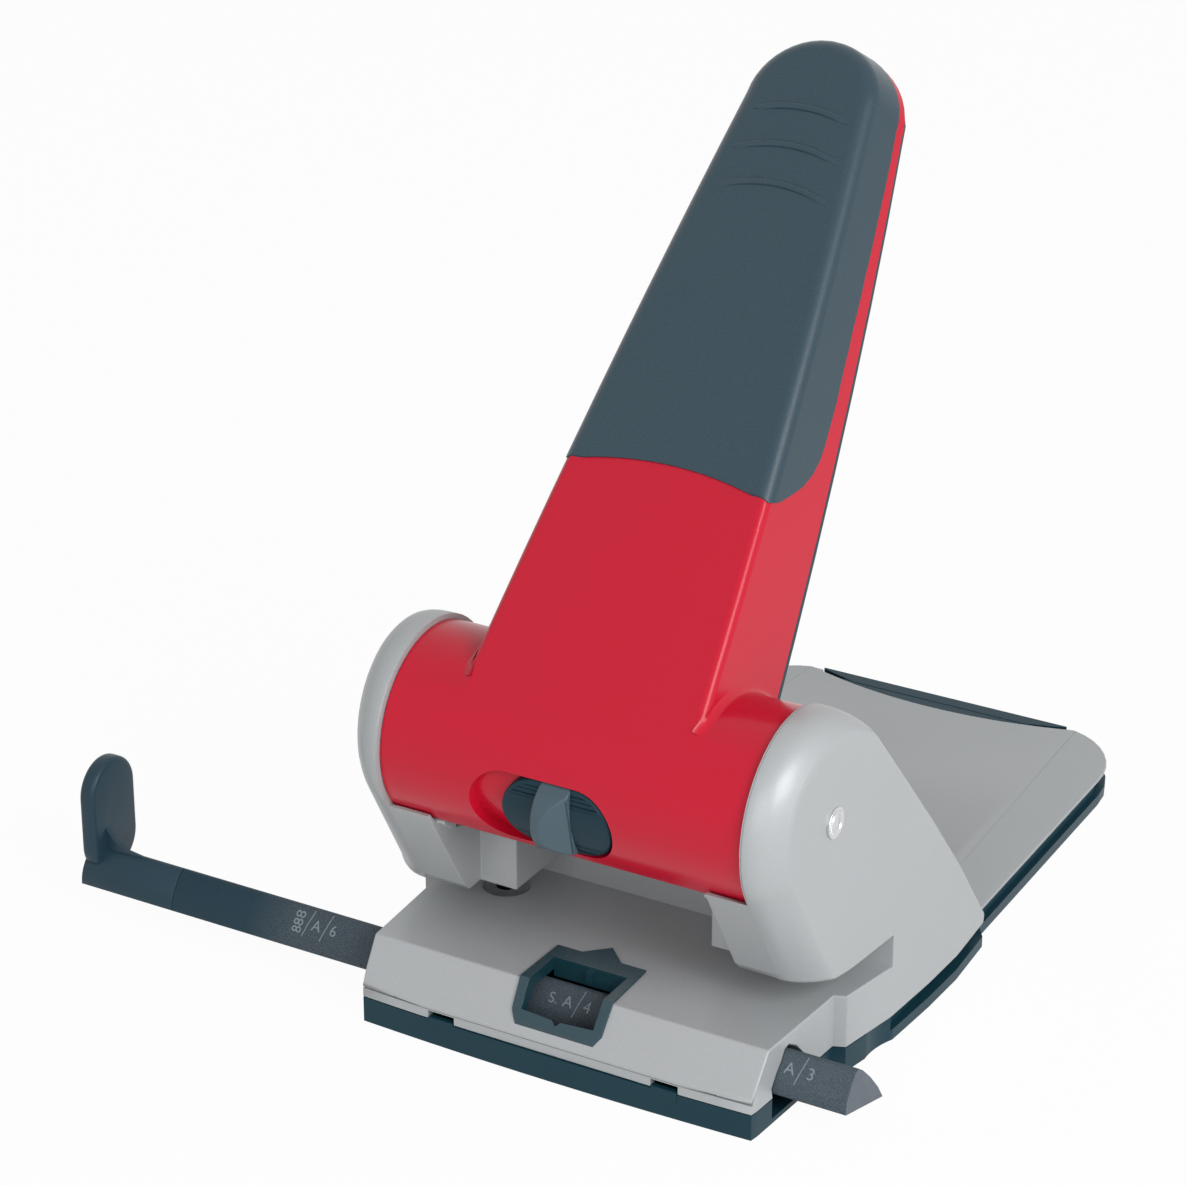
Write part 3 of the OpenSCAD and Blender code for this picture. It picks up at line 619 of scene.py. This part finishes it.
knob = {
    "turn": 192.7, "length": 30.2, "high": 19.6, "middle": -0.7, "outer": 24.9, "clear": 0.3, "rounding": 0.9,
    # the recess it slides in, and the wall round the recess inside the drum
    "depth": 3, "slotLength": 39.6, "slotHigh": 20.2, "slotMiddle": -4.8, "pocketWall": 2, "pocketTop": 23.3,
    "neck": ((-2, -4, 18), (2, 4, 23)), "neckRounding": 0.6,  # it carries the lock's bolt
    "finRadius": 10, "finRise": 5.25, "finHalf": 4.2, "finMiddle": -0.5, "finRoot": 24.2, "finRounding": 0.6,
    "slopeAt": -2.3, "slopeFacing": (0.66, 0, 0.75),
}


def inKnobFrame(piece):
    return turned(piece, knob["turn"] - 90)


def stadium(name, length, high, x, low):
    # a long round-ended block in the knob's frame, from low to well outside the drum
    right, left = x + length / 2 - high / 2, x - length / 2 + high / 2
    points = [(*polar(high / 2, a, (right, 0)), low) for a in range(-90, 91, 6)]
    points += [(*polar(high / 2, a, (left, 0)), low) for a in range(90, 271, 6)]
    return inKnobFrame(drawPrism(name, points, (0, 0, 40 - low)))


def makeKnob():
    plate = stadium("lockKnob", knob["length"], knob["high"], knob["middle"], 16)
    cutWith(plate, roundBar(knob["outer"]), "INTERSECT")
    cutWith(plate, roundBar(drum["radius"] - knob["depth"] + knob["clear"]))
    tidyMesh(plate)
    chooseEdges(plate, lambda a, b: min(fromAxis(a), fromAxis(b)) > knob["outer"] - 0.1, 40)
    bevelChosen(plate, knob["rounding"], 3)
    neck = box("neck", *knob["neck"])
    chooseEdges(neck, lambda a, b: abs(a.z - b.z) > 3)
    bevelChosen(neck, knob["neckRounding"], 2)
    cutWith(plate, inKnobFrame(neck), "UNION")
    return plate


def makeFin():
    # a round disc, cut off at a slope on its right
    outer = drum["radius"] + knob["finRise"]
    bpy.ops.object.select_all(action="DESELECT")
    bpy.ops.mesh.primitive_cylinder_add(
        vertices=96, radius=knob["finRadius"] * mm, depth=2 * knob["finHalf"] * mm,
        location=(knob["finMiddle"] * mm, 0, (outer - knob["finRadius"]) * mm), rotation=(0, math.pi / 2, 0))
    fin = settle(bpy.context.object, "lockFin")
    slicePiece(fin, (knob["slopeAt"], 0, outer), knob["slopeFacing"], use_fill=True, clear_outer=True)
    chooseEdges(fin, lambda a, b: min(a.z, b.z) > drum["radius"] - knob["depth"], 30)
    bevelChosen(fin, knob["finRounding"], 3)
    inKnobFrame(fin)
    cutWith(fin, roundBar(knob["finRoot"]))
    return fin


gripCover = makeGrip()
leverBody = makeLeverBody()
dress(gripCover, softGrip, 32)
dress(leverBody, redPaint, 32)
ready(leverBody, "lever", "red_paint", "lever_shell")
ready(gripCover, "lever", "grip", "grip_cover")
lockKnob, lockFin = makeKnob(), makeFin()
dress(lockKnob, knobPlastic, 35)
# the fin takes the lighter copy of the slate plastic: painted light
dress(lockFin, paintedLitFinPlastic, 35)
ready(lockKnob, "lock", "slate_plastic", "lock_knob")
ready(lockFin, "lock", "slate_plastic")
print("lever, grip and lock knob made")

# casting

casting = {
    "inner": 49.85, "rim": 26.3, "slotTop": 30.7, "slotDeep": 29.5, "low": 7.2, "deck": 9.5,
    "back": 38.5, "chin": 210.8,  # angles where the back slope and the front leave the rim
    "corner": 3.2, "cornerLong": 1.15,  # rounding of the front's lower corner
    "rings": (0, 0.22, 0.4, 0.54, 0.65, 0.74, 0.82, 0.89, 0.95, 1),  # outlines between rim (0) and flat side (1)
    # the shoulder: angle, how far it reaches in, how late it turns
    "shoulders": [(38.5, 2.2, 3.4), (60, 4.0, 3.4), (90, 5.4, 3.2), (125, 6.0, 3.0), (180, 6.4, 2.4),
                  (196, 6.4, 2.3)],
    # the outer side: y, x
    "side": [(-60, 56.0), (29.5, 64.055), (49.4, 65.255), (65.3, 65.555), (84, 64.255), (91, 62.455)],
    # where the side bends, and how far the shoulder of the back slope reaches in there
    "bends": [(29.5, 2.0), (49.4, 1.4), (65.3, 0.9), (84, 0.3)], "slopeTurn": 3.4,
    "sideRounding": 1.0, "innerRounding": 0.7, "chinRounding": 0.45, "baseRounding": 0.5,
    # what is cut away from a cheek's inner side, then where the chin ends above and outside
    "behind": ((0, 33, 0), (56, 200, 200)), "under": ((0, 20, 0), (56, 40, 21.5)),
    "chinTop": ((20, -40, 59.9), (49.9, -14, 75)), "chinOuter": 50.1,
    # x, length, radii, angles and step
    "lip": (36, 13.5, (23.2, 25.6), (225, 240), 3), "groove": (-49, -9, (13.7, 18.3), (130, 206), 4),
    "windowRoom": ((-11.5, -26.4, 10.8), (11.5, -20, 40)),
    # the line under the sloping front: its height and width, then how far in it ends (y): a shallow bend
    # from lineAt in the middle, which is cut off flat at lineLeast
    "lineLow": 9.55, "lineWide": 0.5, "lineAt": -28.0, "lineBend": 1.3, "lineLeast": -27.4,
}


def sideAt(y):
    # how far out a cheek's side stands
    steps = casting["side"]
    for (a, p), (b, q) in zip(steps, steps[1:]):
        if y <= b:
            return p + (q - p) * (y - a) / (b - a)
    return steps[-1][1]


def tangentY(turn, z, inset=0):
    # the straight edge that leaves the rim at this angle
    turn = math.radians(turn)
    return (casting["rim"] - inset - (z - axisHigh) * math.sin(turn)) / math.cos(turn)


def shoulderAt(a, share):
    # how far the shoulder reaches in at this angle: rounder at the top, a soft bevel at the front
    steps = casting["shoulders"]
    for (a0, d0, p0), (a1, d1, p1) in zip(steps, steps[1:]):
        if a <= a1:
            t = (a - a0) / (a1 - a0)
            return (d0 + (d1 - d0) * t) * share ** (p0 + (p1 - p0) * t)
    return steps[-1][1] * share ** steps[-1][2]


def cheekOutline(share):
    # one ring of a cheek, from its rim (0) to its flat side (1)
    rim, back, chin, bottom = (casting[key] for key in ("rim", "back", "chin", "low"))
    angles = [back + (chin - back) * i / 48 for i in range(49)]
    points = [polar(rim - shoulderAt(a, share), a) for a in angles]
    # the front's straight edge down to the slot, with its rounded corner
    corner, slotTop = casting["corner"], casting["slotTop"]
    front = tangentY(chin, slotTop + corner, shoulderAt(chin, share))
    for turn in (math.radians(a) for a in (0, 22, 45, 68, 90)):
        points.append((front + corner * (1 - math.cos(turn)) * casting["cornerLong"],
                       slotTop + corner * (1 - math.sin(turn))))
    points.append((casting["slotDeep"], slotTop))
    points += [(y, bottom) for y, _ in casting["bends"]]
    points.append((tangentY(back, casting["deck"]), casting["deck"]))
    # up the back slope
    turn = math.radians(back)
    for y, deep in reversed(casting["bends"]):
        deep *= share ** casting["slopeTurn"]
        points.append((y, axisHigh + (rim - deep - y * math.cos(turn)) / math.sin(turn)))
    inner = casting["inner"]
    return [(inner + (sideAt(y) - inner) * share, y, z) for y, z in points]


def onSideEdge(a, b):
    # the outline of a cheek's flat side, without the slot's deep end and the underside
    return all(p.x > sideAt(p.y) - 0.02 and abs(p.y - casting["slotDeep"]) + abs(p.z - 20) > 11 and
               (p.z > 8 or p.y > 85) for p in (a, b))


def makeCheek():
    inner = casting["inner"] + 0.01
    cheek = drawSkin("cheek", [cheekOutline(share) for share in casting["rings"]],
                     lambda a, b: max(a.x, b.x) < inner,
                     lambda a, b: all(p.x > sideAt(p.y) - 0.01 for p in (a, b)))
    for y, _ in casting["bends"]:
        slicePiece(cheek, (0, y, 0))
    chooseEdges(cheek, onSideEdge, 18)
    bevelChosen(cheek, casting["sideRounding"], 3)
    chooseEdges(cheek, lambda a, b: max(a.x, b.x) < inner and min(a.z, b.z) > 58, 50)
    bevelChosen(cheek, casting["innerRounding"], 3)
    cutWith(cheek, box("behind", *casting["behind"]))
    cutWith(cheek, box("under", *casting["under"]))
    # the chin and the punch's block stand on the inner side
    chin = copyOf("right_cheek", "chin")
    slicePiece(chin, (casting["chinOuter"], 0, 0), (1, 0, 0), use_fill=True, clear_outer=True)
    tidyMesh(chin)
    cutWith(chin, box("chinTop", *casting["chinTop"]))
    cutWith(chin, arcBlock("chinLip", *casting["lip"]), "UNION")
    chooseEdges(chin, lambda a, b: max(a.x, b.x) < 49 and min(a.z, b.z) > 22, 30)
    bevelChosen(chin, casting["chinRounding"], 2)
    cutWith(cheek, chin, "UNION")
    tidyMesh(cheek, 0.1)
    return cheek


rightCheek = settle(makeCheek(), "rightCheekBody")
only(rightCheek)
bpy.ops.object.duplicate()
leftCheek = bpy.context.object
leftCheek.scale.x = -1
settle(leftCheek, "leftCheekBody")
editing(True)
facesOutward()
editing(False)
cutWith(leftCheek, arcBlock("groove", *casting["groove"]))  # the lock's bolt goes into it
for piece, node in ((rightCheek, "right_cheek"), (leftCheek, "left_cheek")):
    dress(piece, castSilver, 30)
    ready(piece, "frame", "cast_silver", node)


def frontLine():
    # follows the sloping front's foot, and ends outside the casting
    line = [(x, max(casting["lineAt"] + casting["lineBend"] * (x / 55) ** 2, casting["lineLeast"]))
            for x in range(-55, 56, 5)]
    line += [(60, -26.7), (60, -40), (-60, -40), (-60, -26.7)]
    return drawPrism("line", [(x, y, casting["lineLow"]) for x, y in line], (0, 0, casting["lineWide"]))


def onBaseEdge(a, b):
    # upper edges and those at the tail, without the cheeks' joint and the window's room
    high = min(a.z, b.z) > 10.15 or min(a.y, b.y) > 86
    joint = max(abs(a.y - casting["slotDeep"]), abs(b.y - casting["slotDeep"])) < 0.1
    room = max(abs(a.x), abs(b.x)) < 13 and max(a.y, b.y) < 0
    return high and not joint and not room


baseBody = copyOf("base_casting", "baseBody")
cutWith(baseBody, box("windowRoom", *casting["windowRoom"]))
cutWith(baseBody, frontLine())
tidyMesh(baseBody)
chooseEdges(baseBody, onBaseEdge, 26)
bevelChosen(baseBody, casting["baseRounding"], 3)
dress(baseBody, castSilver, 38)
ready(baseBody, "frame", "cast_silver", "base_casting")
print("casting made")

# guide bar with its stop and marks

bar = {
    "right": 75, "sleeveAt": -121.2, "left": -150.5, "rounding": 0.5, "endRounding": 0.35,
    # the section from the front over the top: y, z
    "section": [(-17.3, 7.7), (-17.25, 9.2), (-16.95, 10.7), (-16.4, 12.1), (-15.6, 13.4), (-14.6, 14.7),
                (-13.5, 15.9), (-12.6, 16.8), (-11.9, 17.25), (-11.2, 17.4), (-10.4, 17.15), (-7.9, 15.3),
                (-4.2, 11.7), (0.4, 6.4), (3.5, 1.8)],
}
stop = {
    "x": (-150.2, -145.5), "y": (-16.7, 1.8), "z": (9, 41.6), "rounding": 1.3,
    # a small web joins it to the sleeve: x, z
    "web": [(-146, 12), (-146, 24), (-143.5, 20.4), (-139, 17.8), (-132, 16.9), (-132, 12)],
    "webFront": -11.9, "webThick": 1.4,
}
marks = {
    # text, x, height, turn
    "words": [("888", -82.6, 2.9, 90), ("A", -77.3, 3.0, 0), ("6", -72.2, 3.0, 0), ("S.", -7.0, 2.8, 0),
              ("A", -2.9, 3.0, 0), ("4", 2.6, 3.0, 0), ("A", 58.6, 3.0, 0), ("3", 64.2, 3.0, 0)],
    "letterSize": 1.38,  # font size for each mm of a letter's height
    "strokes": [-79.9, -74.5, 0, 61.5], "strokeWide": 0.26, "strokeHigh": 7.4, "strokeLean": -14,
    "lean": 51, "y": -16.4, "z": 14.4, "proud": 0.03, "thick": 0.05,
}


def barLength(name, start, end):
    piece = drawPrism(name, [(start, y, z) for y, z in bar["section"]], (end - start, 0, 0))
    chooseEdges(piece, lambda a, b: abs(a.x - b.x) < 0.01, 50)
    bevelChosen(piece, bar["endRounding"], 2)
    chooseEdges(piece, lambda a, b: abs(a.x - b.x) > 5, 40)
    bevelChosen(piece, bar["rounding"], 2)
    return piece


def makePaddle():
    # a plate with round ends, in one with the sleeve on the bar
    (x0, x1), (y0, y1), (z0, z1) = (stop[key] for key in "xyz")
    curve = (y1 - y0) / 2
    points = [(x0, *polar(curve, a, (y0 + curve, z1 - curve))) for a in range(0, 181, 6)]
    points += [(x0, *polar(curve, a, (y0 + curve, z0 + curve))) for a in range(180, 361, 6)]
    paddle = drawPrism("stopPaddle", points, (x1 - x0, 0, 0))
    chooseEdges(paddle, lambda a, b: abs(a.x - b.x) < 0.01, 50)
    bevelChosen(paddle, stop["rounding"], 4)
    web = drawPrism("web", [(x, stop["webFront"], z) for x, z in stop["web"]], (0, stop["webThick"], 0))
    cutWith(paddle, web, "UNION")
    cutWith(paddle, barLength("sleeve", bar["left"], bar["sleeveAt"]), "UNION")
    return paddle


def makeWord(text, x, high, turn):
    bpy.ops.object.text_add()
    word = bpy.context.object
    word.data.body = text
    word.data.size = high * marks["letterSize"] * mm
    word.data.align_x = "CENTER"
    word.data.align_y = "CENTER"
    bpy.ops.object.convert(target="MESH")
    word = bpy.context.object
    word.rotation_euler.z = math.radians(turn)
    word.location.x = x * mm
    return settle(word)


def makeStroke(x):
    bpy.ops.object.select_all(action="DESELECT")
    bpy.ops.mesh.primitive_plane_add(size=1)
    stroke = bpy.context.object
    stroke.scale = (marks["strokeWide"] * mm, marks["strokeHigh"] * mm, 1)
    stroke.rotation_euler.z = math.radians(marks["strokeLean"])
    stroke.location.x = x * mm
    return settle(stroke)


def makeMarks(onto):
    made = [makeWord(*values) for values in marks["words"]] + [makeStroke(x) for x in marks["strokes"]]
    bpy.ops.object.select_all(action="DESELECT")
    for piece in made:
        piece.select_set(True)
    bpy.context.view_layer.objects.active = made[0]
    bpy.ops.object.join()
    joined = bpy.context.object
    only(joined)
    editing(True)
    bpy.ops.mesh.select_all(action="SELECT")
    bpy.ops.mesh.remove_doubles(threshold=0.002 * mm)
    editing(False)
    for y in range(-3, 4):  # so that they can bend with the bar
        slicePiece(joined, (0, y, 0))
    # onto the bar's rounded front
    joined.rotation_euler.x = math.radians(marks["lean"])
    joined.location = (0, marks["y"] * mm, marks["z"] * mm)
    settle(joined, "barMarks")
    applyModifier(joined, "SHRINKWRAP", target=onto, wrap_method="PROJECT", use_project_x=False, use_project_y=True,
                  use_project_z=False, use_positive_direction=True, use_negative_direction=True,
                  offset=marks["proud"] * mm)
    applyModifier(joined, "SOLIDIFY", thickness=marks["thick"] * mm, offset=0)
    return joined


guideBar = barLength("guideBarBody", bar["sleeveAt"], bar["right"])
stopPaddle = makePaddle()
barMarks = makeMarks(guideBar)
for piece, material in ((guideBar, barGrain), (stopPaddle, sleevePlastic), (barMarks, markPaint)):
    dress(piece, material, 32, weigh=False)
guideBar.data.materials.append(paintedLitBarEnd)
for face in guideBar.data.polygons:  # the end face is painted paler: painted light for the key lamp falling on it
    if face.normal.x > 0.9:
        face.material_index = 1
ready(guideBar, "bar", "bar_plastic", "guide_bar")
ready(stopPaddle, "bar", "slate_plastic", "stop_plate")
ready(barMarks, "bar", "bar_plastic")
print("guide bar made")

# window, cover, tray and pin, rounded off from the CAD nodes

window = {
    # its lower wall (y, z), and an opening that reaches almost down to it (x, y)
    "half": 11.4, "wall": [(-26.3, 11.2), (-26.3, 12.9), (-24.6, 15.3), (-24.6, 11.2)],
    "view": [(-10.2, -9), (10.2, -9), (10.2, -25), (1.3, -25.3), (0, -26), (-1.3, -25.3), (-10.2, -25)],
    "pointer": ((-0.9, -9.6, 18.2), (0.9, -8.2, 20.9)),  # a small rib at the back points down at the mark
    "backWall": ((-10.6, -8.5, 16.5), (10.6, -7.6, 19.6)),
}
windowRim = copyOf("window_frame", "windowRim")
half = window["half"]
cutWith(windowRim, drawPrism("wall", [(-half, y, z) for y, z in window["wall"]], (2 * half, 0, 0)), "UNION")
cutWith(windowRim, drawPrism("view", [(x, y, 5) for x, y in window["view"]], (0, 0, 30)))
cutWith(windowRim, box("pointer", *window["pointer"]), "UNION")
cutWith(windowRim, box("backWall", *window["backWall"]), "UNION")

backCover = copyOf("lever_back_cover", "backCover")
rise = math.radians(lever["slope"])
for v in backCover.data.vertices:  # spread towards the tip like the arm's back
    along = v.co.y * math.cos(rise) + (v.co.z - axisHigh * mm) * math.sin(rise)
    v.co.x *= tipSpread(along / mm)

chipTray = {
    "tabAt": 31.6, "tabHalf": 4, "tabTop": 7.6,  # the tabs end below the casting's notches
    # the rim reaches up to the deck's hollow edge: the crescent's curve, middle and rear end
    "rimRadius": 109, "rimThick": 2.1, "rimMiddle": (0, 296.8, 7.05), "rimEnd": 192.9,
}
tray = copyOf("bottom_tray", "trayBody")
for side in (-1, 1):
    tab = side * chipTray["tabAt"]
    cutWith(tray, box("tabTop", (tab - chipTray["tabHalf"], -32, chipTray["tabTop"]),
                      (tab + chipTray["tabHalf"], -25, 12)))
bpy.ops.object.select_all(action="DESELECT")
bpy.ops.mesh.primitive_cylinder_add(vertices=240, radius=chipTray["rimRadius"] * mm, depth=chipTray["rimThick"] * mm,
                                    location=[c * mm for c in chipTray["rimMiddle"]])
crescent = settle(bpy.context.object, "crescent")
cutWith(crescent, box("crescentEnd", (-120, chipTray["rimEnd"], 0), (120, 420, 20)))
cutWith(tray, crescent, "UNION")

pin = {"end": 62.2, "steps": ((0.9, 0), (0.3, -0.5))}  # a flat ring and then a hollow in each end: width, depth
pivotPin = copyOf("pivot_shaft", "pivotPin")
for end in (-1, 1):
    chooseFaces(pivotPin, lambda p, n: p.x * end > pin["end"] and n.x * end > 0.9)
    only(pivotPin)
    editing(True)
    bpy.ops.mesh.select_mode(type="FACE")
    editing(False)
    editing(True)
    for wide, deep in pin["steps"]:
        bpy.ops.mesh.inset(thickness=wide * mm, depth=deep * mm)
    editing(False)

for piece, width, material, body, slotName, node in (
        (windowRim, 0.45, framePlastic, "frame", "dark_plastic", "window_frame"),
        (backCover, 0.5, trayPlastic, "lever", "dark_plastic", "lever_back_cover"),
        (tray, 0.6, trayPlastic, "tray", "dark_plastic", "bottom_tray"),
        (pivotPin, 0.25, polishedSteel, "frame", "steel", "pivot_shaft")):
    roundOff(piece, width)
    dress(piece, material, 38)
    ready(piece, body, slotName, node)
print("window, cover, tray and pin made")

# pieces that stay as in the CAD model


def paintNode(name, material):
    node = nodes[name]
    for slot in node.material_slots:
        slot.material = material
    if not node.material_slots:
        node.data.materials.append(material)


for material, names in ((polishedSteel, ("die", "end_disc", "cam", "punch_pin", "punch_head")),
                        (turnedBrass, ("guide_bush",)), (springSteel, ("return_spring",))):
    for name in names:
        paintNode("left_" + name, material)
        paintNode("right_" + name, material)
paintNode("lock_bolt", polishedSteel)
print("hidden pieces finished")
